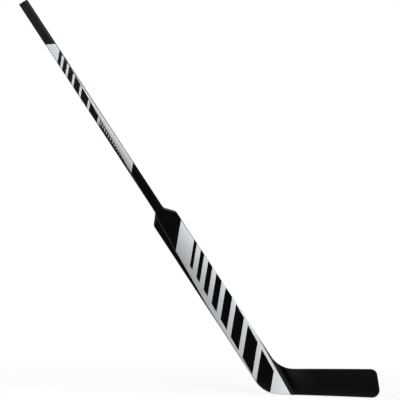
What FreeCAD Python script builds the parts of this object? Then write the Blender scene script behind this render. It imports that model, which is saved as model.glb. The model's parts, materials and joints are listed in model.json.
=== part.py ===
import FreeCAD, Part
import math
import os
import re

import Sketcher

# Hockey goalie stick. X runs along the ice towards the toe, Y away from the front face, and Z up.
# The origin is where the shaft's centre line meets the ice, under the sole.

doc = FreeCAD.newDocument("GoalieStick")

# Driving sizes: lengths in millimetres and angles in degrees
sizes = {
    # Whole stick
    "lie_angle": 55.0,
    "stick_length": 1463.5,
    "overrun": 5.0,
    # Shaft, its cap and the stopper in its bore
    "shaft_width": 30.3,
    "shaft_depth": 21.0,
    "shaft_corner": 7.5,
    "shaft_wall": 1.8,
    "cap_flange": 4.0,
    "cap_crown": 1.6,
    "cap_stem": 34.0,
    "cap_clearance": 0.1,
    "dam_length": 40.0,
    # Tenon between shaft and paddle
    "tenon_in_shaft": 80.0,
    "tenon_in_paddle": 120.0,
    # Paddle
    "paddle_width": 84.0,
    "paddle_depth": 21.0,
    "paddle_rim": 5.5,
    "paddle_skin": 1.8,
    "paddle_wall": 4.0,
    "shoulder_top": 687.5,
    "shoulder_rise": 31.0,
    "shoulder_radius": 20.0,
    "neck_length": 22.5,
    "neck_radius": 14.0,
    "heel_radius": 93.0,
    "paddle_web": 1.2,
    "heel_block_top": 150.0,
    # Blade, its curve and the bevel at its root
    "blade_height": 80.0,
    "blade_rise": 1.83,
    "blade_depth": 12.0,
    "blade_skin": 1.4,
    "blade_wall": 4.0,
    "blade_edge_radius": 3.0,
    "toe_foot": 313.6,
    "toe_lean": 10.6,
    "toe_top_radius": 20.0,
    "toe_sole_radius": 24.0,
    "throat_radius": 84.0,
    "curve_start": 70.0,
    "curve_radius": 1100.0,
    "root_top": 200.0,
    "bevel_foot": 33.3,
    "bevel_angle": 58.8,
    "bevel_width": 11.5,
    # Tongue, damper, web and wear strip of the blade
    "tongue_back": -45.0,
    "tongue_front": 150.0,
    "tongue_low": 28.0,
    "tongue_high": 58.0,
    "damper_length": 3.0,
    "web_level": 43.0,
    "blade_web": 1.2,
    "strip_width": 5.0,
    "strip_height": 2.4,
}

# Sizes that follow from the driving ones
worked_out = {
    "shaft_half": "shaft_width / 2",
    "bore_width": "shaft_width - 2 * shaft_wall",
    "bore_depth": "shaft_depth - 2 * shaft_wall",
    "bore_half": "bore_width / 2",
    "bore_radius": "shaft_corner - shaft_wall",
    "stem_half": "bore_half - cap_clearance",
    "stem_depth": "bore_depth - 2 * cap_clearance",
    "stem_radius": "bore_radius - cap_clearance",
    "tube_end": "stick_length - cap_flange",
    "neck_end": "shoulder_top + neck_length",
    "paddle_half": "paddle_width / 2",
    "core_half": "paddle_half - paddle_wall",
    "core_depth": "paddle_depth - 2 * paddle_skin",
    "web_outer": "bore_half + paddle_web",
    "shoulder_slope": "shoulder_rise / (paddle_half - shaft_half)",
    "shoulder_wall": "paddle_wall * sqrt(1 + shoulder_slope ^ 2)",
    "shoulder_end": "shoulder_top - shoulder_rise",
    "core_end": "shoulder_top - (core_half - shaft_half) * shoulder_slope - shoulder_wall",
    "web_end": "shoulder_top - (web_outer - shaft_half) * shoulder_slope - shoulder_wall",
    "root_line": "bevel_foot * sin(lie_angle)",
    "root_inside": "root_line - paddle_wall",
    "root_shelf": "root_top + paddle_wall",
    "edge_foot": "paddle_half / sin(lie_angle)",
    "heel_tangent": "heel_radius * tan(lie_angle / 2) - edge_foot",
    "toe_tangent": "toe_foot - toe_sole_radius / tan((90 - toe_lean) / 2)",
    "bevel_drop": "(paddle_depth - blade_depth) / 2",
    "bevel_reach": "(edge_foot - bevel_foot) * sin(bevel_angle) + overrun",
    "fill_depth": "blade_depth - 2 * blade_skin",
    "web_low": "web_level - blade_web / 2",
    "web_high": "web_level + blade_web / 2",
    "blade_reach": "toe_foot + overrun",
    "blade_room": "2 * (root_top + paddle_width)",
    "curve_share": "(blade_reach - curve_start) / (curve_radius - paddle_depth)",
    "curve_rest_share": "sqrt(1 - curve_share ^ 2)",
}

sheet = doc.addObject("Spreadsheet::Sheet", "Sizes")
for row, (alias, content) in enumerate({**sizes, **worked_out}.items(), 1):
    sheet.set(f"A{row}", alias)
    sheet.set(f"B{row}", f"={content}" if alias in worked_out else str(content))
    sheet.setAlias(f"B{row}", alias)
doc.recompute()

across_ice = FreeCAD.Vector(0, 1, 0)
lie_turn = "lie_angle - 90"
bevel_turn = "bevel_angle - 90"
same_place = 1e-6


def bound(words):
    """The expression that reads these sizes from the sheet."""
    known = {**sizes, **worked_out}
    return re.sub("[a-z_]+", lambda word: f"Sizes.{word[0]}" if word[0] in known else word[0], words)


def number(words):
    """What these sizes come to."""
    return float(sheet.evalExpression(bound(words)))


def as_vector(corner):
    return FreeCAD.Vector(number(corner[0]), number(corner[1]), 0)


def near(first, second):
    return abs(first - second) < same_place


def new_body(name, turn=None, foot=None):
    """A body turned about Y, with its origin at a foot along the ice."""
    body = doc.addObject("PartDesign::Body", name)
    if turn:
        body.Placement = FreeCAD.Placement(FreeCAD.Vector(), FreeCAD.Rotation(across_ice, number(turn)))
        body.setExpression("Placement.Rotation.Angle", bound(turn))
    if foot:
        body.setExpression("Placement.Base.x", bound(foot))
    return body


def new_sketch(body, role):
    sketch = body.newObject("Sketcher::SketchObject", f"{body.Name}_outline")
    plane = next(feature for feature in body.Origin.OriginFeatures if feature.Role == role)
    sketch.AttachmentSupport = [(plane, "")]
    sketch.MapMode = "FlatFace"
    return sketch


def bind_point(sketch, side, end, corner):
    """Ties one end of a side to its distances from the sketch's origin."""
    for kind, words in zip(("DistanceX", "DistanceY"), corner):
        made = sketch.addConstraint(Sketcher.Constraint(kind, -1, 1, side, end, number(words)))
        sketch.setExpression(f"Constraints[{made}]", bound(words))


def polygon(body, role, corners):
    """A closed outline of straight sides through these corners."""
    sketch = new_sketch(body, role)
    places = [as_vector(corner) for corner in corners]
    following = [*range(1, len(corners)), 0]
    for side, after in enumerate(following):
        sketch.addGeometry(Part.LineSegment(places[side], places[after]), False)
    for side, after in enumerate(following):
        sketch.addConstraint(Sketcher.Constraint("Coincident", side, 2, after, 1))
        bind_point(sketch, side, 1, corners[side])
    return sketch


def pad(body, sketch, length):
    """Pads the sketch, half to each side of its plane."""
    feature = body.newObject("PartDesign::Pad", f"{body.Name}_pad")
    feature.Profile = sketch
    feature.SideType = "Symmetric"
    feature.setExpression("Length", bound(length))
    doc.recompute()


def fillet(body, picked, radius):
    """Rounds the edges of the body that a test picks."""
    base = body.Tip
    names = [f"Edge{index}" for index, edge in enumerate(base.Shape.Edges, 1) if picked(edge)]
    feature = body.newObject("PartDesign::Fillet", f"{body.Name}_fillet")
    feature.Base = (base, names)
    feature.setExpression("Radius", bound(radius))
    doc.recompute()


def ends(edge):
    return edge.Vertexes[0].Point, edge.Vertexes[-1].Point


def runs_along(edge, *fixed):
    """True if both ends of the edge agree in these coordinates."""
    first, last = ends(edge)
    return all(near(getattr(first, name), getattr(last, name)) for name in fixed)


def lengthwise(edge):
    return runs_along(edge, "x", "y")


def over_corner(corner):
    """Picks the front to back edge over a corner of an outline."""
    place = as_vector(corner)

    def picked(edge):
        start = ends(edge)[0]
        return runs_along(edge, "x", "z") and near(start.x, place.x) and near(start.z, place.y)

    return picked


def slab(name, corners, depth, turn=None):
    """A flat piece: an outline in X and Z, padded in Y. A corner with a third item is rounded to it."""
    body = new_body(name, turn)
    pad(body, polygon(body, "XZ_Plane", corners), depth)
    for corner in corners:
        for radius in corner[2:]:
            fillet(body, over_corner(corner), radius)
    return body


def bar(name, half_width, depth, low, high, radius=None):
    """A length of the stick along its shaft, with rounded long edges."""
    corners = [(f"-{half_width}", low), (half_width, low), (half_width, high), (f"-{half_width}", high)]
    body = slab(name, corners, depth, lie_turn)
    if radius:
        fillet(body, lengthwise, radius)
    return body


def band(name, front, back, height):
    """An upright band along the blade's curve in plan, this far in front of and behind its middle."""
    corners = [
        ("-stick_length", back),
        ("curve_start", back),
        curve_end(f"(curve_radius + {back})"),
        curve_end(f"(curve_radius - {front})"),
        ("curve_start", f"-{front}"),
        ("-stick_length", f"-{front}"),
    ]
    places = [as_vector(corner) for corner in corners]
    centre = as_vector(("curve_start", "-curve_radius"))
    body = new_body(name)
    sketch = new_sketch(body, "XY_Plane")
    for start, end in ((0, 1), (2, 1), (2, 3), (3, 4), (4, 5), (5, 0)):
        if (start, end) in ((2, 1), (3, 4)):
            sketch.addGeometry(bend(centre, places[start], places[end]), False)
        else:
            sketch.addGeometry(Part.LineSegment(places[start], places[end]), False)
    joins = ((0, 2, 1, 2), (1, 1, 2, 1), (2, 2, 3, 1), (3, 2, 4, 1), (4, 2, 5, 1), (5, 2, 0, 1))
    for side, end, after, start in joins:
        sketch.addConstraint(Sketcher.Constraint("Coincident", side, end, after, start))
    for corner, (side, end) in enumerate(((0, 1), (0, 2), (2, 1), (2, 2), (4, 1), (5, 1))):
        bind_point(sketch, side, end, corners[corner])
    for side, words in ((1, f"curve_radius + {back}"), (3, f"curve_radius - {front}")):
        made = sketch.addConstraint(Sketcher.Constraint("Radius", side, number(words)))
        sketch.setExpression(f"Constraints[{made}]", bound(words))
    pad(body, sketch, height)
    return body


def curve_end(radius):
    """Where an arc of the blade's curve with this radius ends, past the toe."""
    return f"curve_start + {radius} * curve_share", f"{radius} * curve_rest_share - curve_radius"


def bend(centre, toe_end, heel_end):
    """The arc of the blade's curve between two places."""
    upright = FreeCAD.Vector(0, 0, 1)
    circle = Part.Circle(centre, upright, centre.distanceToPoint(toe_end))
    first, last = (math.atan2(place.y - centre.y, place.x - centre.x) for place in (toe_end, heel_end))
    return Part.ArcOfCircle(circle, first, last)


def boolean(kind, name, base, *tools):
    """A cut, a fuse or what is common, between a base and one tool or several."""
    made = doc.addObject(f"Part::{kind}", name)
    made.Base = base
    if len(tools) == 1:
        made.Tool = tools[0]
    else:
        made.Tool = doc.addObject("Part::MultiFuse", f"{name}_tools")
        made.Tool.Shapes = list(tools)
    doc.recompute()
    return made


# Shaft: a tube with a cap in its top end and a foam stopper above the tenon
tube_outside = bar("tube_outside", "shaft_half", "shaft_depth", "neck_end", "tube_end", "shaft_corner")
tube_bore = bar("tube_bore", "bore_half", "bore_depth", "neck_end", "tube_end", "bore_radius")
shaft_tube = boolean("Cut", "shaft_tube", tube_outside, tube_bore)

cap_flange = bar("cap_flange", "shaft_half", "shaft_depth", "tube_end", "stick_length", "shaft_corner")
fillet(cap_flange, lambda edge: all(near(end.z, number("stick_length")) for end in ends(edge)), "cap_crown")
cap_stem = bar("cap_stem", "stem_half", "stem_depth", "tube_end - cap_stem", "tube_end", "stem_radius")
butt_cap = boolean("Fuse", "butt_cap", cap_flange, cap_stem)

tenon_end = "neck_end + tenon_in_shaft"
tenon_foot = "neck_end - tenon_in_paddle"
dam_end = f"{tenon_end} + dam_length"
shaft_dam = bar("shaft_dam", "bore_half", "bore_depth", tenon_end, dam_end, "bore_radius")
tenon_top = bar("tenon_top", "bore_half", "bore_depth", "neck_end", tenon_end, "bore_radius")
tenon_root = bar("tenon_root", "bore_half", "core_depth", tenon_foot, "neck_end", "bore_radius")
shaft_tenon = boolean("Fuse", "shaft_tenon", tenon_top, tenon_root)

# Paddle: its outer form, with a notch for the blade's root
paddle_corners = [
    ("shaft_half", "neck_end"),
    ("-shaft_half", "neck_end"),
    ("-shaft_half", "shoulder_top", "neck_radius"),
    ("-paddle_half", "shoulder_end", "shoulder_radius"),
    ("-paddle_half", "paddle_half / tan(lie_angle)", "heel_radius"),
    ("root_line", "-root_line / tan(lie_angle)"),
    ("root_line", "root_top"),
    ("paddle_half", "root_top"),
    ("paddle_half", "shoulder_end", "shoulder_radius"),
    ("shaft_half", "shoulder_top", "neck_radius"),
]
paddle_blank = slab("paddle_blank", paddle_corners, "paddle_depth", lie_turn)


def on_rim(edge):
    """Picks the edges of the paddle's two faces, apart from those along its joints."""
    on_face = runs_along(edge, "y") and near(abs(ends(edge)[0].y), number("paddle_depth / 2"))
    joint_ends = (("z", "neck_end"), ("x", "root_line"), ("z", "root_top"))
    in_joint = any(
        all(near(getattr(end, name), number(words)) for end in ends(edge)) for name, words in joint_ends
    )
    return on_face and not in_joint


def rim_at(vertex):
    """The rim's radius, which is the shaft's own where the neck meets it."""
    return number("shaft_corner" if near(vertex.Point.z, number("neck_end")) else "paddle_rim")


paddle_form = doc.addObject("Part::Fillet", "paddle_form")
paddle_form.Base = paddle_blank
paddle_form.Edges = [
    (index, rim_at(edge.firstVertex()), rim_at(edge.lastVertex()))
    for index, edge in enumerate(paddle_blank.Tip.Shape.Edges, 1)
    if on_rim(edge)
]
doc.recompute()

# Paddle: cores, webs and heel block, which fill the shells
sole_inside = "(paddle_wall - root_inside * cos(lie_angle)) / sin(lie_angle)"
heel_inside = "(paddle_wall + core_half * cos(lie_angle)) / sin(lie_angle)"
heel_corners = [
    ("-core_half", heel_inside, "heel_radius - paddle_wall"),
    ("root_inside", sole_inside),
    ("root_inside", "heel_block_top"),
    ("-core_half", "heel_block_top"),
]
toe_side_corners = [
    ("web_outer", "heel_block_top"),
    ("root_inside", "heel_block_top"),
    ("root_inside", "root_shelf"),
    ("core_half", "root_shelf"),
    ("core_half", "core_end"),
    ("web_outer", "web_end"),
]
heel_side_corners = [
    ("-web_outer", "heel_block_top"),
    ("-web_outer", "web_end"),
    ("-core_half", "core_end"),
    ("-core_half", "heel_block_top"),
]


def paddle_web(name, inner, outer):
    corners = [(inner, "heel_block_top"), (outer, "heel_block_top"), (outer, "web_end"), (inner, "web_end")]
    return slab(name, corners, "core_depth", lie_turn)


heel_blank = slab("heel_blank", heel_corners, "core_depth", lie_turn)
paddle_toe_side_core = slab("paddle_toe_side_core", toe_side_corners, "core_depth", lie_turn)
paddle_heel_side_core = slab("paddle_heel_side_core", heel_side_corners, "core_depth", lie_turn)
paddle_toe_side_rib = paddle_web("paddle_toe_side_rib", "bore_half", "web_outer")
paddle_heel_side_rib = paddle_web("paddle_heel_side_rib", "-bore_half", "-web_outer")
paddle_centre_core = bar("paddle_centre_core", "bore_half", "core_depth", "heel_block_top", tenon_foot)


# Blade: outline of its plate with the root that is let into the paddle
def blade_corners(inset, *throat_rounding):
    """Foot and top of the toe and the throat, this far inside the blade's outline."""
    foot = f"(toe_foot - {inset} / cos(toe_lean))"
    height = f"(blade_height - {inset} / cos(blade_rise))"
    top = f"(({height} + {foot} * tan(blade_rise)) / (1 + tan(toe_lean) * tan(blade_rise)))"
    meeting = "(sin(lie_angle) + tan(blade_rise) * cos(lie_angle))"
    throat = f"((paddle_half - {height} * cos(lie_angle)) / {meeting})"
    return [
        (f"{foot} - {inset} * tan(toe_lean)", inset, f"toe_sole_radius - {inset}"),
        (f"{foot} - {top} * tan(toe_lean)", top, f"toe_top_radius - {inset}"),
        (throat, f"{height} + {throat} * tan(blade_rise)", *throat_rounding),
    ]


def off_shaft(across, along):
    """A place given across and along the shaft, as X and Z."""
    return (
        f"{across} * sin(lie_angle) - {along} * cos(lie_angle)",
        f"{across} * cos(lie_angle) + {along} * sin(lie_angle)",
    )


plate_corners = [
    ("bevel_foot", "0"),
    *blade_corners("0", "throat_radius"),
    off_shaft("paddle_half", "root_top"),
    off_shaft("root_line", "root_top"),
]
plate_outline = slab("plate_outline", plate_corners, "blade_room")
plate_band = band("plate_band", "blade_depth / 2", "blade_depth / 2", "blade_room")
plate_blank = boolean("Common", "plate_blank", plate_outline, plate_band)


def across_shaft(place):
    lie = math.radians(number("lie_angle"))
    return place.x * math.sin(lie) + place.z * math.cos(lie)


def plate_rim(edge):
    """Picks the edges of the blade's two faces along its free outline."""
    middle = edge.valueAt((edge.FirstParameter + edge.LastParameter) / 2)
    free = across_shaft(middle) > number("paddle_half") and middle.z > same_place
    return free and not runs_along(edge, "x", "z") and not lengthwise(edge)


rim_radius = number("blade_edge_radius")
plate = doc.addObject("Part::Fillet", "plate")
plate.Base = plate_blank
plate.Edges = [
    (index, rim_radius, rim_radius)
    for index, edge in enumerate(plate_blank.Shape.Edges, 1)
    if plate_rim(edge)
]

# Blade: its root, as deep as the paddle, with a bevel on each face down to the plate
root_corners = [
    ("root_line", "-root_line / tan(lie_angle)"),
    ("paddle_half", "-paddle_half / tan(lie_angle)"),
    ("paddle_half", "root_top"),
    ("root_line", "root_top"),
]
root_blank = slab("root_blank", root_corners, "paddle_depth", lie_turn)


def root_rim(edge):
    """Picks the root's long edges that carry on the paddle's rounded rim."""
    return lengthwise(edge) and near(ends(edge)[0].x, number("paddle_half"))


fillet(root_blank, root_rim, "paddle_rim")


def bevel_wedge(name, side):
    """What the bevel takes off one face of the root."""
    corners = [
        ("0", f"{side}paddle_depth / 2"),
        ("bevel_reach", f"{side}(paddle_depth / 2 - bevel_drop * bevel_reach / bevel_width)"),
        ("bevel_reach", f"{side}(paddle_depth / 2 + overrun)"),
        ("0", f"{side}(paddle_depth / 2 + overrun)"),
    ]
    body = new_body(name, bevel_turn, "bevel_foot")
    pad(body, polygon(body, "XY_Plane", corners), "blade_room")
    return body


front_bevel = bevel_wedge("front_bevel", "-")
back_bevel = bevel_wedge("back_bevel", "")
blade_root = boolean("Cut", "blade_root", root_blank, front_bevel, back_bevel)
blade_form = boolean("Fuse", "blade_form", plate, blade_root)

# Blade: cores, web, tongue and damper, all as deep as the room between the skins
fill_foot = "(paddle_half - blade_wall * cos(lie_angle)) / sin(lie_angle)"
fill_corners = [(fill_foot, "blade_wall"), *blade_corners("blade_wall")]
fill_outline = slab("fill_outline", fill_corners, "blade_room")
fill_band = band("fill_band", "fill_depth / 2", "fill_depth / 2", "blade_room")
blade_fill = boolean("Common", "blade_fill", fill_outline, fill_band)


def rectangle(left, right, low, high):
    return [(left, low), (right, low), (right, high), (left, high)]


def inside_blade(name, room, corners):
    """The part of a room in the blade that lies within this outline."""
    return boolean("Common", name, room, slab(f"{name}_room", corners, "blade_room"))


lower_corners = [
    ("tongue_back", "0"),
    ("blade_reach", "0"),
    ("blade_reach", "web_low"),
    ("tongue_front", "web_low"),
    ("tongue_front", "tongue_low"),
    ("tongue_back", "tongue_low"),
]
upper_corners = [
    ("tongue_back", "tongue_high"),
    ("tongue_front", "tongue_high"),
    ("tongue_front", "web_high"),
    ("blade_reach", "web_high"),
    ("blade_reach", "root_top"),
    ("tongue_back", "root_top"),
]
web_corners = rectangle("tongue_front", "blade_reach", "web_low", "web_high")
tongue_corners = rectangle("tongue_back", "tongue_front", "tongue_low", "tongue_high")
damper_corners = rectangle("tongue_back - damper_length", "tongue_back", "tongue_low", "tongue_high")
blade_lower_core = inside_blade("blade_lower_core", blade_fill, lower_corners)
blade_upper_core = inside_blade("blade_upper_core", blade_fill, upper_corners)
blade_rib = inside_blade("blade_rib", blade_fill, web_corners)
blade_tongue = inside_blade("blade_tongue", fill_band, tongue_corners)
tongue_damper = inside_blade("tongue_damper", fill_band, damper_corners)
heel_block = boolean("Cut", "heel_block", heel_blank, blade_tongue, tongue_damper)

# Wear strip, let into the flat of the sole
strip_band = band("strip_band", "strip_width / 2", "strip_width / 2", "blade_room")
strip_corners = rectangle("heel_tangent", "toe_tangent", "0", "strip_height")
sole_strip = inside_blade("sole_strip", strip_band, strip_corners)

# Shells: what is left of the outer forms round the inner pieces, parted along the middle
paddle_inside = [
    tenon_root,
    paddle_centre_core,
    paddle_toe_side_core,
    paddle_heel_side_core,
    paddle_toe_side_rib,
    paddle_heel_side_rib,
    heel_blank,
]
front_half = band("front_half", "paddle_depth", "0", "2 * stick_length")
paddle_hollow = boolean("Cut", "paddle_hollow", paddle_form, *paddle_inside, blade_tongue, sole_strip)
paddle_front_shell = boolean("Common", "paddle_front_shell", paddle_hollow, front_half)
paddle_back_shell = boolean("Cut", "paddle_back_shell", paddle_hollow, front_half)
blade_hollow = boolean("Cut", "blade_hollow", blade_form, blade_fill, blade_tongue, sole_strip)
blade_front_shell = boolean("Common", "blade_front_shell", blade_hollow, front_half)
blade_back_shell = boolean("Cut", "blade_back_shell", blade_hollow, front_half)

nodes = [
    butt_cap,
    shaft_tube,
    shaft_dam,
    shaft_tenon,
    paddle_front_shell,
    paddle_back_shell,
    paddle_centre_core,
    paddle_toe_side_core,
    paddle_heel_side_core,
    paddle_toe_side_rib,
    paddle_heel_side_rib,
    heel_block,
    blade_tongue,
    tongue_damper,
    blade_front_shell,
    blade_back_shell,
    blade_upper_core,
    blade_lower_core,
    blade_rib,
    sole_strip,
]

doc.recompute()
failed = [item.Name for item in doc.Objects if {"Invalid", "Error"} & set(item.State)]
if failed:
    raise ValueError(f"these objects failed: {failed}")
for node in nodes:
    shape = node.Shape
    if shape.isNull() or not shape.isValid() or len(shape.Solids) != 1:
        raise ValueError(f"{node.Label} is not one sound solid")

os.makedirs("parts", exist_ok=True)
for node in nodes:
    node.Shape.exportStep(f"parts/{node.Label}.step")
    print(f"{node.Label}: {node.Shape.Volume:.0f} mm3")
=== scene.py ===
# Looks for a hockey goalie stick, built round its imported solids
import json
import math

import bmesh
import bpy
from mathutils import Matrix, Vector


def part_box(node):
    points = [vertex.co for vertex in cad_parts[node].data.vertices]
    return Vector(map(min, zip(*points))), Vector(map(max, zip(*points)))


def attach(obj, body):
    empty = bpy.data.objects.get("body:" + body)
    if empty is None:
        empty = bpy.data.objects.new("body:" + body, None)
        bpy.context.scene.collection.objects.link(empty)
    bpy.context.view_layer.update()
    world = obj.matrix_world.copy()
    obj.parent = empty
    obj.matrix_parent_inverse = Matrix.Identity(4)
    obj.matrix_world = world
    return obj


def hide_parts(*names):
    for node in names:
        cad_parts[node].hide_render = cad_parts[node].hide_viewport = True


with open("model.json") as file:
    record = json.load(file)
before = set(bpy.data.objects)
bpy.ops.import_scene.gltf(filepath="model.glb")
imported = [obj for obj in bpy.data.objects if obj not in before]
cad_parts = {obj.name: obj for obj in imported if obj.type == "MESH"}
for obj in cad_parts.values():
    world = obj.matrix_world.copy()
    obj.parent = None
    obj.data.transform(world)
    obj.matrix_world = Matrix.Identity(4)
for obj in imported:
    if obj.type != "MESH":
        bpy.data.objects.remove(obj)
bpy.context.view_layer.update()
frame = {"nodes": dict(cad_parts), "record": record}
nodes = frame["nodes"]
scene = bpy.context.scene
scene.view_settings.view_transform = "Standard"
mm = 0.001
print("loaded", len(nodes), "nodes")

# The stick's own directions: across it towards the toe, front to back, and up the shaft
alongX, alongY, alongZ = (1, 0, 0), (0, 1, 0), (0, 0, 1)
mounts = {mount["name"]: mount for mount in frame["record"]["mounts"]}
upShaft = Vector(mounts["butt_face"]["axis"])
toToe = Vector((upShaft.z, 0, -upShaft.x))
lean = math.atan2(-upShaft.x, upShaft.z)
stickToModel = Matrix((toToe, alongY, upShaft)).transposed().to_4x4()
modelToStick = stickToModel.inverted()


def reach(name):
    # Lowest and highest corner of a node along the stick's own directions
    places = [modelToStick @ vertex.co for vertex in nodes[name].data.vertices]
    return [Vector(pick(place[axis] for place in places) for axis in range(3)) for pick in (min, max)]


def finishNodes(material, *names):
    for name in names:
        nodes[name].data.materials.clear()
        nodes[name].data.materials.append(material)


# Small helpers for node trees
def plug(tree, socket, value):
    if isinstance(value, bpy.types.NodeSocket):
        tree.links.new(value, socket)
    else:
        socket.default_value = value


def addNode(tree, kind, inputs=None, **settings):
    made = tree.nodes.new(kind)
    for name, value in settings.items():
        setattr(made, name, value)
    for name, value in (inputs or {}).items():
        plug(tree, made.inputs[name], value)
    return made


def calc(tree, operation, *values):
    return addNode(tree, "ShaderNodeMath", dict(enumerate(values)), operation=operation).outputs[0]


def mixColour(tree, share, first, second, blend="MIX"):
    # Sockets 6 and 7 take the colours, and output 2 gives the mixed one
    inputs = {0: share, 6: first, 7: second}
    return addNode(tree, "ShaderNodeMix", inputs, data_type="RGBA", blend_type=blend).outputs[2]


def mixValue(tree, share, first, second):
    # Sockets 2 and 3 take plain numbers
    return addNode(tree, "ShaderNodeMix", {0: share, 2: first, 3: second}).outputs[0]


def ramp(tree, value, low, high, start=0.0, end=1.0):
    inputs = {"Value": value, "From Min": low, "From Max": high, "To Min": start, "To Max": end}
    return addNode(tree, "ShaderNodeMapRange", inputs).outputs["Result"]


def noise(tree, place, scale, detail=2.0):
    inputs = {"Vector": place, "Scale": scale, "Detail": detail}
    return addNode(tree, "ShaderNodeTexNoise", inputs).outputs["Fac"]


def pebbled(tree, place, scale):
    # Distance from the middle of the nearest pebble or pore, smooth where two meet
    inputs = {"Vector": place, "Scale": scale}
    return addNode(tree, "ShaderNodeTexVoronoi", inputs, feature="SMOOTH_F1").outputs["Distance"]


def newMaterial(name, **shaderValues):
    # Shader values go by the names of their sockets, with _ for a space
    material = bpy.data.materials.new(name)
    material.use_nodes = True
    shader = material.node_tree.nodes["Principled BSDF"]
    for words, value in shaderValues.items():
        shader.inputs[words.replace("_", " ")].default_value = value
    return material, material.node_tree, shader


def addBump(tree, shader, height, depth):
    made = addNode(tree, "ShaderNodeBump", {"Height": height, "Distance": depth})
    plug(tree, shader.inputs["Normal"], made.outputs["Normal"])


def modelPlace(tree, turn=(0, 0, 0)):
    # Millimetres along the model's own directions, or along turned ones
    where = addNode(tree, "ShaderNodeTexCoord").outputs["Object"]
    inputs = {"Vector": where, "Rotation": turn, "Scale": (1 / mm,) * 3}
    return addNode(tree, "ShaderNodeMapping", inputs).outputs["Vector"]


def stickPlace(tree):
    # Millimetres across the stick, front to back, and up the shaft from the ice
    return modelPlace(tree, (0, lean, 0))


# Masking for paint: each mask is a distance in millimetres that is above 0 inside
def measure(tree, place, direction):
    inputs = {0: place, 1: direction}
    return addNode(tree, "ShaderNodeVectorMath", inputs, operation="DOT_PRODUCT").outputs["Value"]


def rightOf(tree, place, line):
    # Distance to the right of a line from one place to another, each across and up the stick:
    # the toe side of a line that climbs
    start, end = (Vector(point) for point in line)
    normal = Vector((end.y - start.y, start.x - end.x)).normalized()
    return calc(tree, "SUBTRACT", measure(tree, place, (normal.x, 0, normal.y)), normal.dot(start))


def between(tree, value, low, high):
    return calc(tree, "MINIMUM", calc(tree, "SUBTRACT", value, low), calc(tree, "SUBTRACT", high, value))


def stripe(tree, distance, width):
    return calc(tree, "SUBTRACT", width / 2, calc(tree, "ABSOLUTE", distance))


def fold(tree, operation, distances):
    found = distances[0]
    for distance in distances[1:]:
        found = calc(tree, operation, found, distance)
    return found


def within(tree, *distances):
    return fold(tree, "MINIMUM", distances)


def anyOf(tree, *distances):
    return fold(tree, "MAXIMUM", distances)


def opposite(tree, distance):
    return calc(tree, "MULTIPLY", distance, -1)


# Lines of the paint that run on from piece to piece, in millimetres across and up the stick
layout = {
    "slashRise": 1.083,  # every slanted cut climbs this much for each step towards the toe
    "neckCut": 581.4,  # where the slanted cuts cross the middle of the stick
    "shaftCut": 842,
    "splitLine": ((-40.1, 325), (11.4, 1198)),  # between the heel side's paint and the toe side's
    "bevelLine": ((27.3, -19.1), (42.0, 202.5)),  # where the blade's satin black starts
    "pinstripe": 2.0,
    "pinColour": (0.04, 0.04, 0.042, 1),
}


def slashHeight(tree, place):
    # Where the slanted cut through this place crosses the middle of the stick
    return measure(tree, place, (-layout["slashRise"], 0, 1))


def slashes(tree, height, look):
    # A row of slanted bars that thin out up the stick
    low = look["barStart"]
    bars = []
    for count in range(look["barCount"]):
        high = low + look["firstBar"] * look["barShrink"] ** count
        bars.append(between(tree, height, low, high))
        low = high + look["barGap"]
    return anyOf(tree, *bars)


# Paints that several pieces share; sizes of patterns are counts per millimetre
lacquer = {
    "specular": 0.16,
    "softness": 0.12,  # half the width of a sprayed edge
    "unevenSize": 1 / 18,
    "unevenSpread": (0.3, 0.7),
    "unevenGloss": 0.03,
    "peelSize": 1 / 2.5,
    "peelDepth": 0.014,
}
silver = {
    "shade": (0.41, 0.43, 0.434, 1),  # heel side, darker as painted shade
    "paintedFootLight": (0.595, 0.624, 0.63, 1),  # heel side, low on the paddle, lighter as painted light
    "footReach": (460, 250),
    "paintedTopColour": (0.61, 0.64, 0.645, 1),  # painted light all across, high on the shaft
    "topReach": (1010, 1050),
    "curve": 1.5,  # how late across the stick the painted light brightens the silver
    "tint": (0.965, 0.978, 1.03, 1),
    "cloudSize": 1 / 70,
    "cloudSpread": (0.4, 0.65),
    "paintedRimShade": (0.56, 0.56, 0.57, 1),  # painted shade over the rounded rims
    "rimSoftness": (-0.3, 1.0),
    "rimFade": (640, 380),  # on the toe side the painted rim shade fades out between these heights, leaving the rim lit low on the paddle
    "flakeSize": 1 / 0.9,
    "flakeDepth": 0.08,
    "metal": 0.2,
    "roughness": 0.36,
}
black = {
    "deep": (0.0012, 0.0012, 0.0013, 1),
    "thread": (0.0028, 0.0028, 0.003, 1),
    "paintedTopLight": (0.0088, 0.0094, 0.0095, 1),  # painted light that the black gains high on the shaft
    "topReach": (940, 1260),
    "threadWidth": 2.4,
    "threadDepth": 0.012,
    "roughness": 0.2,
}


def sprayed(tree, distance):
    return ramp(tree, distance, -lacquer["softness"], lacquer["softness"])


def weave(tree, place, width, over=2, under=2):
    # Ridges of a twill cloth: threads pass over two and under two, one step on in each row
    scaled = addNode(tree, "ShaderNodeVectorMath", {0: place, "Scale": 1 / width}, operation="SCALE")
    parts = addNode(tree, "ShaderNodeSeparateXYZ", {0: scaled.outputs["Vector"]}).outputs
    cells = calc(tree, "ADD", calc(tree, "FLOOR", parts["X"]), calc(tree, "FLOOR", parts["Z"]))
    step = calc(tree, "FLOORED_MODULO", cells, over + under)
    half = 0.5  # of a thread
    ridges = [calc(tree, "PINGPONG", calc(tree, "ADD", parts[way], half), half) for way in "XZ"]
    return calc(tree, "SUBTRACT", 1, mixValue(tree, calc(tree, "LESS_THAN", step, over), *ridges))


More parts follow.
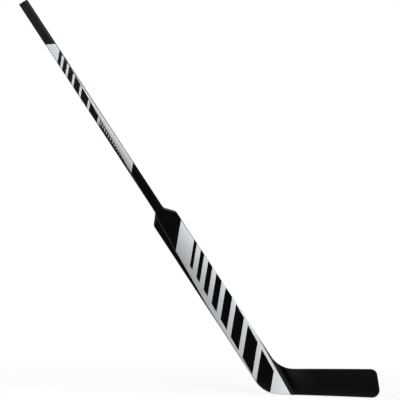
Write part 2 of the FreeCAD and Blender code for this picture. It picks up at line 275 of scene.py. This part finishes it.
def onRim(tree, place, node, rimReach):
    # Share of painted rim shade: 1 where the rounded rim of a bar turns away from its flat faces, 0 on
    # the flats, and less on the toe side low on the paddle and on the heel side high on the shaft
    halfWidth = reach(node)[1].x / mm
    halfDepth = reach("shaft_tube")[1].y / mm  # the paddle is as deep as the shaft
    parts = addNode(tree, "ShaderNodeSeparateXYZ", {0: place}).outputs
    past = [
        calc(tree, "SUBTRACT", calc(tree, "ABSOLUTE", parts[way]), size - inward)
        for way, size, inward in zip("XY", (halfWidth, halfDepth), rimReach)
    ]
    rim = ramp(tree, within(tree, *past), *silver["rimSoftness"])
    toeSide = calc(tree, "GREATER_THAN", parts["X"], 0)
    fades = [ramp(tree, parts["Z"], *silver[span]) for span in ("topReach", "rimFade")]
    left = calc(tree, "SUBTRACT", 1, mixValue(tree, toeSide, *fades))
    return calc(tree, "MULTIPLY", rim, left)


def silverPaint(tree, place, node, look):
    # Satin silver with painted light towards the toe side, the foot and the top of the shaft, painted
    # shade on the heel side and the rims, clouds of tint and fine flakes
    up = measure(tree, place, alongZ)
    foot = ramp(tree, up, *silver["footReach"])
    top = ramp(tree, up, *silver["topReach"])
    shade = mixColour(tree, foot, silver["shade"], silver["paintedFootLight"])
    across = ramp(tree, measure(tree, place, alongX), *look["silverFade"])
    across = calc(tree, "POWER", across, silver["curve"])
    faded = mixColour(tree, across, shade, look["silverLight"])
    faded = mixColour(tree, top, faded, silver["paintedTopColour"])
    rim = onRim(tree, place, node, look["rimReach"])
    # the rims get painted shade
    faded = mixColour(tree, rim, faded, silver["paintedRimShade"], "MULTIPLY")
    clouds = ramp(tree, noise(tree, place, silver["cloudSize"]), *silver["cloudSpread"])
    tinted = mixColour(tree, clouds, faded, silver["tint"], "MULTIPLY")
    inputs = {"Vector": place, "Scale": silver["flakeSize"]}
    flakes = addNode(tree, "ShaderNodeTexVoronoi", inputs).outputs["Color"]
    return mixColour(tree, silver["flakeDepth"], tinted, flakes, "SOFT_LIGHT")


def blackPaint(tree, place, ridges):
    # Gloss black over cloth whose threads just show, with painted light making it a little paler high on
    # the shaft
    colour = mixColour(tree, ridges, black["deep"], black["thread"])
    top = ramp(tree, measure(tree, place, alongZ), *black["topReach"])
    return mixColour(tree, top, colour, black["paintedTopLight"], "ADD")


def twoTone(tree, place, inBlack, ridges, node, look):
    # Colour and roughness of the silver with black sprayed over it
    light = silverPaint(tree, place, node, look)
    colour = mixColour(tree, inBlack, light, blackPaint(tree, place, ridges))
    return colour, mixValue(tree, inBlack, silver["roughness"], black["roughness"])


def clothRelief(tree, ridges, share, depth):
    return calc(tree, "MULTIPLY", calc(tree, "MULTIPLY", ridges, depth), share)


def finishPaint(tree, shader, colour, roughness, inSilver, place, relief):
    # Orange peel of sprayed paint over the relief, and a little unevenness in the gloss
    patches = noise(tree, place, lacquer["unevenSize"], detail=4)
    gloss = (-lacquer["unevenGloss"], lacquer["unevenGloss"])
    uneven = ramp(tree, patches, *lacquer["unevenSpread"], *gloss)
    peel = noise(tree, place, lacquer["peelSize"], detail=3)
    peel = calc(tree, "MULTIPLY", peel, lacquer["peelDepth"])
    plug(tree, shader.inputs["Base Color"], colour)
    plug(tree, shader.inputs["Metallic"], calc(tree, "MULTIPLY", inSilver, silver["metal"]))
    plug(tree, shader.inputs["Roughness"], calc(tree, "ADD", roughness, uneven))
    addBump(tree, shader, calc(tree, "ADD", relief, peel), mm)


# Shaft: a hollow bar, its wall section swept round a rounded rectangle
shaft = {
    "corner": 7.5 * mm,
    "cornerSteps": 8,
    "endBreak": 0.35 * mm,
    "endBreakSteps": 3,
    "rimReach": (4.6, 7.5),  # how far in from its sides and faces the painted rim shade reaches
    "silverFade": (-4, 13),  # where the painted light on the silver starts and ends, across the shaft
    "silverLight": (0.72, 0.753, 0.758, 1),  # painted light on the toe side
    "barStart": 1036,
    "barCount": 6,
    "firstBar": 46,  # each bar up the stick is thinner than the last
    "barShrink": 0.8,
    "barGap": 11,
    "tickTop": 1024,
    "tickPitch": 11,
    "tickWidth": 6.6,
    "tickMargin": 1.2,
    "tickEdge": -8.6,  # from here to the heel side the row of ticks runs into a black edge
    "splitPin": 1.8,
    "gripCut": ((15.15, 1297.8), (-15.15, 1313.6)),  # the grip is all above this line
    "gripColour": (0.003, 0.0032, 0.0032, 1),
    "gripLight": (0.0055, 0.0058, 0.0058, 1),
    "gripRoughness": 0.33,
    "pebbleSize": 1 / 1.3,
    "pebbleSpread": (0.1, 0.7),
    "pebbleDepth": 0.09,
}


def nodeTree(name, sizes):
    tree = bpy.data.node_groups.new(name, "GeometryNodeTree")
    for words in sizes:
        tree.interface.new_socket(words, in_out="INPUT", socket_type="NodeSocketFloat")
    tree.interface.new_socket("Finish", in_out="INPUT", socket_type="NodeSocketMaterial")
    tree.interface.new_socket("Geometry", in_out="OUTPUT", socket_type="NodeSocketGeometry")
    return tree, addNode(tree, "NodeGroupInput").outputs


def endTree(tree, given, geometry, smooth):
    shaded = addNode(tree, "GeometryNodeSetShadeSmooth", {"Geometry": geometry, "Shade Smooth": smooth})
    real = addNode(tree, "GeometryNodeRealizeInstances", {"Geometry": shaded.outputs[0]})
    inputs = {"Geometry": real.outputs[0], "Material": given["Finish"]}
    finished = addNode(tree, "GeometryNodeSetMaterial", inputs)
    addNode(tree, "NodeGroupOutput", {"Geometry": finished.outputs[0]})


def builtByTree(name, tree, values):
    piece = bpy.data.objects.new(name, bpy.data.meshes.new(name))
    scene.collection.objects.link(piece)
    modifier = piece.modifiers.new("build", "NODES")
    modifier.node_group = tree
    for item in tree.interface.items_tree:
        if item.in_out == "INPUT":
            modifier[item.identifier] = values[item.name]
    ready = piece.evaluated_get(bpy.context.evaluated_depsgraph_get())
    made = bpy.data.meshes.new_from_object(ready)
    piece.modifiers.remove(modifier)
    piece.data = made
    made.name = name
    return piece


def roundedLoop(tree, width, height, radius, steps):
    loop = addNode(tree, "GeometryNodeCurvePrimitiveQuadrilateral", {"Width": width, "Height": height})
    inputs = {"Curve": loop.outputs[0], "Count": steps, "Radius": radius}
    return addNode(tree, "GeometryNodeFilletCurve", inputs, mode="POLY").outputs[0]


def hollowBarTree():
    # The path runs round the middle of the wall, and the section is the wall from end to end
    sizes = ("Width", "Depth", "Corner", "Wall", "Low", "High", "End Break")
    tree, given = nodeTree("hollowBar", sizes)
    midWidth = calc(tree, "SUBTRACT", given["Width"], given["Wall"])
    midDepth = calc(tree, "SUBTRACT", given["Depth"], given["Wall"])
    midCorner = calc(tree, "MULTIPLY_ADD", given["Wall"], -0.5, given["Corner"])
    path = roundedLoop(tree, midWidth, midDepth, midCorner, shaft["cornerSteps"])
    length = calc(tree, "SUBTRACT", given["High"], given["Low"])
    section = roundedLoop(tree, given["Wall"], length, given["End Break"], shaft["endBreakSteps"])
    middle = calc(tree, "MULTIPLY", calc(tree, "ADD", given["High"], given["Low"]), -0.5)
    place = addNode(tree, "ShaderNodeCombineXYZ", {"Y": middle}).outputs[0]
    moved = addNode(tree, "GeometryNodeTransform", {"Geometry": section, "Translation": place})
    inputs = {"Curve": path, "Profile Curve": moved.outputs[0]}
    swept = addNode(tree, "GeometryNodeCurveToMesh", inputs).outputs[0]
    endTree(tree, given, swept, smooth=True)
    return tree


def shaftPaint():
    material, tree, shader = newMaterial("shaftPaint", Specular_IOR_Level=lacquer["specular"])
    place = stickPlace(tree)
    height = slashHeight(tree, place)
    toeSide = rightOf(tree, place, layout["splitLine"])
    heelSide = opposite(tree, toeSide)
    bars = within(tree, heelSide, slashes(tree, height, shaft))
    wave = calc(tree, "PINGPONG", height, shaft["tickPitch"] / 2)
    edge = calc(tree, "SUBTRACT", shaft["tickEdge"], measure(tree, place, alongX))
    ticks = within(
        tree,
        calc(tree, "SUBTRACT", heelSide, shaft["tickMargin"]),
        between(tree, height, layout["shaftCut"], shaft["tickTop"]),
        anyOf(tree, edge, calc(tree, "SUBTRACT", shaft["tickWidth"] / 2, wave)),
    )
    lower = calc(tree, "SUBTRACT", layout["shaftCut"], height)
    splitPin = stripe(tree, toeSide, shaft["splitPin"])
    pinstripe = stripe(tree, toeSide, layout["pinstripe"])
    inBlack = sprayed(tree, anyOf(tree, bars, ticks, splitPin, lower))
    inPin = sprayed(tree, within(tree, pinstripe, lower))
    inGrip = sprayed(tree, rightOf(tree, place, shaft["gripCut"]))
    ridges = weave(tree, place, black["threadWidth"])
    colour, roughness = twoTone(tree, place, inBlack, ridges, "shaft_tube", shaft)
    colour = mixColour(tree, inPin, colour, layout["pinColour"])
    cells = pebbled(tree, place, shaft["pebbleSize"])
    pebbles = ramp(tree, cells, *shaft["pebbleSpread"], 1, 0)
    grip = mixColour(tree, pebbles, shaft["gripColour"], shaft["gripLight"])
    colour = mixColour(tree, inGrip, colour, grip)
    roughness = mixValue(tree, inGrip, roughness, shaft["gripRoughness"])
    inSilver = calc(tree, "SUBTRACT", 1, anyOf(tree, inBlack, inGrip))
    cloth = clothRelief(tree, ridges, inBlack, black["threadDepth"])
    relief = mixValue(tree, inGrip, cloth, calc(tree, "MULTIPLY", pebbles, shaft["pebbleDepth"]))
    finishPaint(tree, shader, colour, roughness, inSilver, place, relief)
    return material


def makeShaft():
    low, high = reach("shaft_tube")
    bore = reach("shaft_dam")[1]
    values = {
        "Width": 2 * high.x,
        "Depth": 2 * high.y,
        "Corner": shaft["corner"],
        "Wall": high.x - bore.x,
        "Low": low.z,
        "High": high.z,
        "End Break": shaft["endBreak"],
        "Finish": shaftPaint(),
    }
    piece = builtByTree("shaftTube", hollowBarTree(), values)
    piece.data.transform(stickToModel)
    piece.modifiers.new("flats", "WEIGHTED_NORMAL")
    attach(piece, "root")
    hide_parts("shaft_tube")


makeShaft()
print("shaft made")

# Butt cap: a moulded plug, stacked up from rounded rectangles
cap = {
    "stemInset": 1.9 * mm,
    "stemLead": 1.2 * mm,
    "seamBreak": 0.35 * mm,
    "crown": 1.6 * mm,
    "crownSteps": 6,
    "cornerSteps": 8,
    "sharpAngle": 40,
    "colour": (0.006, 0.006, 0.0062, 1),
    "bloom": (0.013, 0.013, 0.0135, 1),
    "bloomSize": 1 / 9,
    "bloomSpread": (0.35, 0.75),
    "grainSize": 1 / 0.7,
    "grainDepth": 0.03 * mm,
    "roughness": (0.5, 0.7),
    "specular": 0.2,
}


def roundedRectangle(halfWidth, halfDepth, radius, steps):
    corners = ((1, 1), (-1, 1), (-1, -1), (1, -1))
    places = []
    for turn, (right, back) in enumerate(corners):
        for step in range(steps + 1):
            angle = (turn + step / steps) * math.pi / 2
            across = right * (halfWidth - radius) + radius * math.cos(angle)
            through = back * (halfDepth - radius) + radius * math.sin(angle)
            places.append((across, through))
    return places


def stacked(name, rows, halfWidth, halfDepth, corner, steps):
    # A closed solid through rounded rectangles, each row an inset and a height
    form = bmesh.new()
    rings = []
    for inset, height in rows:
        loop = roundedRectangle(halfWidth - inset, halfDepth - inset, corner - inset, steps)
        rings.append([form.verts.new((across, through, height)) for across, through in loop])
    for lower, upper in zip(rings, rings[1:]):
        for index, after in enumerate([*range(1, len(lower)), 0]):
            form.faces.new((lower[index], lower[after], upper[after], upper[index]))
    form.faces.new(rings[0][::-1])
    form.faces.new(rings[-1])
    for face in form.faces:
        face.smooth = True
    mesh = bpy.data.meshes.new(name)
    form.to_mesh(mesh)
    form.free()
    piece = bpy.data.objects.new(name, mesh)
    scene.collection.objects.link(piece)
    return piece


def capRubber():
    material, tree, shader = newMaterial("capRubber", Specular_IOR_Level=cap["specular"])
    place = modelPlace(tree)
    grain = noise(tree, place, cap["grainSize"], detail=4)
    bloom = ramp(tree, noise(tree, place, cap["bloomSize"], detail=3), *cap["bloomSpread"])
    plug(tree, shader.inputs["Base Color"], mixColour(tree, bloom, cap["colour"], cap["bloom"]))
    plug(tree, shader.inputs["Roughness"], ramp(tree, grain, 0, 1, *cap["roughness"]))
    addBump(tree, shader, grain, cap["grainDepth"])
    return material


def makeCap():
    low, high = reach("butt_cap")
    seam = reach("shaft_tube")[1].z
    rows = [
        (cap["stemInset"] + cap["stemLead"], low.z),
        (cap["stemInset"], low.z + cap["stemLead"]),
        (cap["stemInset"], seam),
        (cap["seamBreak"], seam),
        (0, seam + cap["seamBreak"]),
    ]
    for step in range(cap["crownSteps"] + 1):
        angle = step / cap["crownSteps"] * math.pi / 2
        inset = cap["crown"] * (1 - math.cos(angle))
        rows.append((inset, high.z - cap["crown"] * (1 - math.sin(angle))))
    piece = stacked("buttCap", rows, high.x, high.y, shaft["corner"], cap["cornerSteps"])
    piece.data.transform(stickToModel)
    piece.data.set_sharp_from_angle(angle=math.radians(cap["sharpAngle"]))
    piece.data.materials.append(capRubber())
    piece.modifiers.new("flats", "WEIGHTED_NORMAL").keep_sharp = True
    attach(piece, "root")
    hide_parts("butt_cap")


makeCap()
print("cap made")

# Paddle: the two shells keep their shape and get their paint
paddle = {
    "rimReach": (4.6, 5.5),
    "silverFade": (-42, 42),
    # painted light on the toe side of the paddle
    "silverLight": (0.862, 0.9, 0.905, 1),
    "barStart": 46,
    "barCount": 8,
    "firstBar": 72,
    "barShrink": 0.8,
    "barGap": 23,
    "bandStart": 15,  # from the split line to the bars
    "bandMargin": 9,  # from the bars to the bevel
}


def paddleBars(tree, place):
    # Bars between the split line and the bevel, which run on over the blade's root
    toeSide = rightOf(tree, place, layout["splitLine"])
    bladeSide = rightOf(tree, place, layout["bevelLine"])
    return within(
        tree,
        calc(tree, "SUBTRACT", toeSide, paddle["bandStart"]),
        calc(tree, "SUBTRACT", opposite(tree, bladeSide), paddle["bandMargin"]),
        slashes(tree, slashHeight(tree, place), paddle),
    )


def paddlePaint():
    material, tree, shader = newMaterial("paddlePaint", Specular_IOR_Level=lacquer["specular"])
    place = stickPlace(tree)
    toeSide = rightOf(tree, place, layout["splitLine"])
    bladeSide = rightOf(tree, place, layout["bevelLine"])
    neck = calc(tree, "SUBTRACT", slashHeight(tree, place), layout["neckCut"])
    bars = paddleBars(tree, place)
    inBlack = sprayed(tree, anyOf(tree, bars, neck, opposite(tree, toeSide), bladeSide))
    inPin = sprayed(tree, within(tree, stripe(tree, toeSide, layout["pinstripe"]), neck))
    ridges = weave(tree, place, black["threadWidth"])
    colour, roughness = twoTone(tree, place, inBlack, ridges, "paddle_front_shell", paddle)
    colour = mixColour(tree, inPin, colour, layout["pinColour"])
    inSilver = calc(tree, "SUBTRACT", 1, inBlack)
    relief = clothRelief(tree, ridges, inBlack, black["threadDepth"])
    finishPaint(tree, shader, colour, roughness, inSilver, place, relief)
    return material


finishNodes(paddlePaint(), "paddle_front_shell", "paddle_back_shell")
print("paddle painted")

# Blade: satin black from the bevel to the toe, silver where its root carries on the paddle's face
blade = {
    "colour": (0.004, 0.004, 0.0041, 1),
    "thread": (0.0056, 0.0056, 0.0058, 1),
    "threadWidth": 3.0,
    "threadDepth": 0.03,
    # painted shade, darker towards the ice
    "footColour": (0.0014, 0.0014, 0.0015, 1),
    "footReach": (70, 5),  # heights over the ice between which painted shade darkens the black
    # painted sheen, lighter near the root
    "rootColour": (0.0115, 0.0115, 0.0118, 1),
    "rootReach": (95, 50),  # painted sheen near the root; this and the next two are from the bevel's edge towards the toe
    "creaseColour": (0.0008, 0.0008, 0.0009, 1),
    "creaseReach": (38, 20),  # painted shade where the bevel meets the blade
    # painted light on the bevel
    "bevelColour": (0.018, 0.018, 0.0184, 1),
    "bevelReach": (12.5, 10.5),
    "scuff": (0.012, 0.012, 0.0125, 1),
    "scuffSize": 1 / 4,
    "scuffHeight": 5.0,
    "roughness": 0.22,
    "specular": 0.11,
}


def bladePaint():
    material, tree, shader = newMaterial("bladePaint", Specular_IOR_Level=blade["specular"])
    place = stickPlace(tree)
    fromBevel = rightOf(tree, place, layout["bevelLine"])
    level = measure(tree, modelPlace(tree), alongZ)
    inSatin = sprayed(tree, fromBevel)
    inBars = sprayed(tree, paddleBars(tree, place))
    ridges = weave(tree, place, blade["threadWidth"])
    satin = mixColour(tree, ridges, blade["colour"], blade["thread"])
    # Painted light and shade in bands: sheen near the root, shade towards the ice and in the crease,
    # light on the bevel
    bands = {"root": fromBevel, "foot": level, "crease": fromBevel, "bevel": fromBevel}
    for band, distance in bands.items():
        share = ramp(tree, distance, *blade[f"{band}Reach"])
        satin = mixColour(tree, share, satin, blade[f"{band}Colour"])
    scuffs = noise(tree, place, blade["scuffSize"], detail=4)
    worn = calc(tree, "MULTIPLY", ramp(tree, level, blade["scuffHeight"], 0), scuffs)
    satin = mixColour(tree, worn, satin, blade["scuff"])
    colour, roughness = twoTone(tree, place, inBars, ridges, "paddle_front_shell", paddle)
    colour = mixColour(tree, inSatin, colour, satin)
    roughness = mixValue(tree, inSatin, roughness, blade["roughness"])
    inSilver = calc(tree, "SUBTRACT", 1, anyOf(tree, inBars, inSatin))
    relief = clothRelief(tree, ridges, inSatin, blade["threadDepth"])
    finishPaint(tree, shader, colour, roughness, inSilver, place, relief)
    return material


finishNodes(bladePaint(), "blade_front_shell", "blade_back_shell")
print("blade painted")

# Wear strip: a bar that follows the blade's curve along the sole
strip = {
    "curveStart": 70 * mm,
    "curveRadius": 1100 * mm,
    "width": 5 * mm,
    "edgeBreak": 0.15 * mm,
    "edgeSteps": 2,
    "steps": 72,
    "colour": (0.022, 0.022, 0.023, 1),
    "rubbed": (0.06, 0.06, 0.062, 1),
    "streaks": (0.05, 1.5, 1.5),  # per millimetre along, across and up the strip
    "streakSpread": (0.4, 0.75),
    "streakDepth": 0.03 * mm,
    "roughness": (0.55, 0.75),  # as moulded, and rubbed
}


def curvedBarTree():
    # A straight line along the sole, bent forwards on an arc past the start of the curve
    sizes = ("Start", "End", "Width", "Height", "Edge Break", "Curve Start", "Curve Radius")
    tree, given = nodeTree("curvedBar", sizes)
    level = calc(tree, "MULTIPLY", given["Height"], 0.5)
    inputs = {
        end: addNode(tree, "ShaderNodeCombineXYZ", {"X": given[end], "Z": level}).outputs[0]
        for end in ("Start", "End")
    }
    line = addNode(tree, "GeometryNodeCurvePrimitiveLine", inputs).outputs[0]
    inputs = {"Curve": line, "Count": strip["steps"]}
    fine = addNode(tree, "GeometryNodeResampleCurve", inputs).outputs[0]
    position = addNode(tree, "GeometryNodeInputPosition").outputs[0]
    along = addNode(tree, "ShaderNodeSeparateXYZ", {0: position}).outputs["X"]
    run = calc(tree, "MAXIMUM", calc(tree, "SUBTRACT", along, given["Curve Start"]), 0)
    radius = given["Curve Radius"]
    square = calc(tree, "SUBTRACT", calc(tree, "POWER", radius, 2), calc(tree, "POWER", run, 2))
    forward = calc(tree, "SUBTRACT", calc(tree, "SQRT", square), radius)
    offset = addNode(tree, "ShaderNodeCombineXYZ", {"Y": forward}).outputs[0]
    path = addNode(tree, "GeometryNodeSetPosition", {"Geometry": fine, "Offset": offset}).outputs[0]
    section = roundedLoop(tree, given["Width"], given["Height"], given["Edge Break"], strip["edgeSteps"])
    inputs = {"Curve": path, "Profile Curve": section, "Fill Caps": True}
    swept = addNode(tree, "GeometryNodeCurveToMesh", inputs).outputs[0]
    endTree(tree, given, swept, smooth=False)
    return tree


def stripPlastic():
    material, tree, shader = newMaterial("stripPlastic")
    inputs = {"Vector": modelPlace(tree), "Scale": strip["streaks"]}
    stretched = addNode(tree, "ShaderNodeMapping", inputs).outputs[0]
    rubbed = ramp(tree, noise(tree, stretched, 1, detail=4), *strip["streakSpread"])
    plug(tree, shader.inputs["Base Color"], mixColour(tree, rubbed, strip["colour"], strip["rubbed"]))
    plug(tree, shader.inputs["Roughness"], ramp(tree, rubbed, 0, 1, *strip["roughness"]))
    addBump(tree, shader, rubbed, strip["streakDepth"])
    return material


def makeStrip():
    low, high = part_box("sole_strip")
    values = {
        "Start": low.x,
        "End": high.x,
        "Width": strip["width"],
        "Height": high.z - low.z,
        "Edge Break": strip["edgeBreak"],
        "Curve Start": strip["curveStart"],
        "Curve Radius": strip["curveRadius"],
        "Finish": stripPlastic(),
    }
    piece = builtByTree("wearStrip", curvedBarTree(), values)
    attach(piece, "root")
    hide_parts("sole_strip")


makeStrip()
print("wear strip made")

# Inner pieces: foam, bare laminate, moulded plastic and a rubber pad
foams = {
    "light": {"colour": (0.62, 0.57, 0.44, 1), "pore": (0.42, 0.37, 0.27, 1), "poreSize": 1 / 1.4},
    "dense": {"colour": (0.30, 0.27, 0.22, 1), "pore": (0.19, 0.17, 0.14, 1), "poreSize": 1 / 0.8},
    "poreSpread": (0.1, 0.6),
    "poreDepth": 0.3 * mm,
    "roughness": 0.9,
}
webs = {
    "colour": (0.012, 0.012, 0.013, 1),
    "thread": (0.05, 0.05, 0.053, 1),
    "threadWidth": 2.0,
    "threadDepth": 0.08 * mm,
    "roughness": 0.4,
}
tenon = {
    "colour": (0.06, 0.06, 0.065, 1),
    "fleck": (0.10, 0.10, 0.105, 1),
    "grainSize": 1 / 1.2,
    "grainSpread": (0.4, 0.7),
    "grainDepth": 0.04 * mm,
    "roughness": 0.5,
}
pad = {
    "colour": (0.025, 0.025, 0.026, 1),
    "fleck": (0.06, 0.058, 0.055, 1),
    "grainSize": 1 / 1.2,
    "grainSpread": (0.4, 0.7),
    "grainDepth": 0.06 * mm,
    "roughness": 0.8,
}


def foam(name, look):
    material, tree, shader = newMaterial(name, Roughness=foams["roughness"])
    cells = pebbled(tree, modelPlace(tree), look["poreSize"])
    walls = ramp(tree, cells, *foams["poreSpread"])
    plug(tree, shader.inputs["Base Color"], mixColour(tree, walls, look["pore"], look["colour"]))
    addBump(tree, shader, cells, foams["poreDepth"])
    return material


def bareLaminate():
    material, tree, shader = newMaterial("bareLaminate", Roughness=webs["roughness"])
    ridges = weave(tree, stickPlace(tree), webs["threadWidth"])
    plug(tree, shader.inputs["Base Color"], mixColour(tree, ridges, webs["colour"], webs["thread"]))
    addBump(tree, shader, ridges, webs["threadDepth"])
    return material


def speckled(name, look):
    material, tree, shader = newMaterial(name, Roughness=look["roughness"])
    grain = noise(tree, modelPlace(tree), look["grainSize"], detail=4)
    flecks = ramp(tree, grain, *look["grainSpread"])
    plug(tree, shader.inputs["Base Color"], mixColour(tree, flecks, look["colour"], look["fleck"]))
    addBump(tree, shader, grain, look["grainDepth"])
    return material


finishNodes(
    foam("lightFoam", foams["light"]),
    "shaft_dam",
    "paddle_centre_core",
    "paddle_toe_side_core",
    "paddle_heel_side_core",
    "blade_upper_core",
    "blade_lower_core",
)
finishNodes(foam("denseFoam", foams["dense"]), "heel_block")
finishNodes(bareLaminate(), "paddle_toe_side_rib", "paddle_heel_side_rib", "blade_rib", "blade_tongue")
finishNodes(speckled("mouldedPlastic", tenon), "shaft_tenon")
finishNodes(speckled("padRubber", pad), "tongue_damper")
print("inner pieces finished")

# Studio: pale floor, white surround, a soft key high in front and a weaker fill from the heel side
card = {
    "corners": ((-4.0, -0.2), (4.0, 4.0)),
    "drop": 0.4 * mm,
    "colour": (0.85, 0.85, 0.85, 1),
    "roughness": 0.95,
    "glow": 0.86,  # share of plain white where the shadow falls
    "fade": (0.3, 1.8),  # from the stick's foot out to where the floor is plain white
    "frontFade": (-0.03, -0.18),  # the same towards the floor's front edge
}
surround = {
    "ambient": (0.2, 0.9),  # its light from the front and from behind
    "ambientTurn": (-0.2, 0.6),  # where that changes, from -1 in front to 1 behind
    "mirrored": (0.05, 1.0),  # what glossy paint shows of it
    "mirroredTurn": (0.1, 0.8),
}
lamps = {
    "key": {"place": (0.2, -3.08, 2.78), "size": 1.4, "power": 95},
    "fill": {"place": (-2.45, -2.8, 1.15), "size": 1.4, "power": 41},
}
shot = {
    "middle": (-0.2683, 0.5985),  # what the middle of the picture shows, along the ice and up
    "width": 1.2484,
    "distance": 9.0,
    "roll": 1.78,
}


def shownTo(tree, path):
    # 1 for rays that show a thing as it is, straight, in a gloss or through glass
    return anyOf(tree, *(path[f"Is {kind} Ray"] for kind in ("Camera", "Glossy", "Transmission")))


def makeFloor():
    (left, front), (right, back) = card["corners"]
    places = ((left, front), (right, front), (right, back), (left, back))
    mesh = bpy.data.meshes.new("floor")
    mesh.from_pydata([(*place, -card["drop"]) for place in places], [], [(0, 1, 2, 3)])
    floor = bpy.data.objects.new("floor", mesh)
    scene.collection.objects.link(floor)
    looks = {"Roughness": card["roughness"], "Base_Color": card["colour"]}
    material, tree, shader = newMaterial("floorCard", **looks)
    glow = addNode(tree, "ShaderNodeEmission", {"Strength": 1.0})
    path = addNode(tree, "ShaderNodeLightPath").outputs
    where = addNode(tree, "ShaderNodeTexCoord").outputs["Object"]
    away = addNode(tree, "ShaderNodeVectorMath", {0: where}, operation="LENGTH").outputs["Value"]
    fades = (
        ramp(tree, away, *card["fade"], card["glow"], 1.0),
        ramp(tree, measure(tree, where, alongY), *card["frontFade"], card["glow"], 1.0),
    )
    white = calc(tree, "MULTIPLY", shownTo(tree, path), anyOf(tree, *fades))
    both = addNode(tree, "ShaderNodeMixShader", {0: white, 1: shader.outputs[0], 2: glow.outputs[0]})
    plug(tree, tree.nodes["Material Output"].inputs["Surface"], both.outputs[0])
    mesh.materials.append(material)


def makeSurround():
    world = bpy.data.worlds.new("studio")
    scene.world = world
    world.use_nodes = True
    tree = world.node_tree
    path = addNode(tree, "ShaderNodeLightPath").outputs
    way = addNode(tree, "ShaderNodeTexCoord").outputs["Generated"]
    behind = addNode(tree, "ShaderNodeSeparateXYZ", {0: way}).outputs["Y"]
    ambient = ramp(tree, behind, *surround["ambientTurn"], *surround["ambient"])
    mirrored = ramp(tree, behind, *surround["mirroredTurn"], *surround["mirrored"])
    shown = mixValue(tree, path["Is Camera Ray"], mirrored, 1.0)
    light = tree.nodes["Background"].inputs
    plug(tree, light["Strength"], mixValue(tree, shownTo(tree, path), ambient, shown))
    plug(tree, light["Color"], (1, 1, 1, 1))


def softbox(name, place, size, power):
    lamp = bpy.data.lights.new(name, "AREA")
    lamp.energy = power
    lamp.size = size
    holder = bpy.data.objects.new(name, lamp)
    scene.collection.objects.link(holder)
    aim = Vector((shot["middle"][0], 0, shot["middle"][1]))
    holder.location = place
    holder.rotation_euler = (aim - holder.location).to_track_quat("-Z", "Y").to_euler()


def makeCamera():
    lens = bpy.data.cameras.new("camera")
    lens.lens = lens.sensor_width * shot["distance"] / shot["width"]
    camera = bpy.data.objects.new("camera", lens)
    scene.collection.objects.link(camera)
    turn = math.radians(shot["roll"])
    right = Vector((math.cos(turn), 0, math.sin(turn)))
    up = Vector((-math.sin(turn), 0, math.cos(turn)))
    camera.matrix_world = Matrix((right, up, (0, -1, 0))).transposed().to_4x4()
    camera.location = (shot["middle"][0], -shot["distance"], shot["middle"][1])
    scene.camera = camera


makeFloor()
makeSurround()
for name, values in lamps.items():
    softbox(name, **values)
makeCamera()
print("studio made")
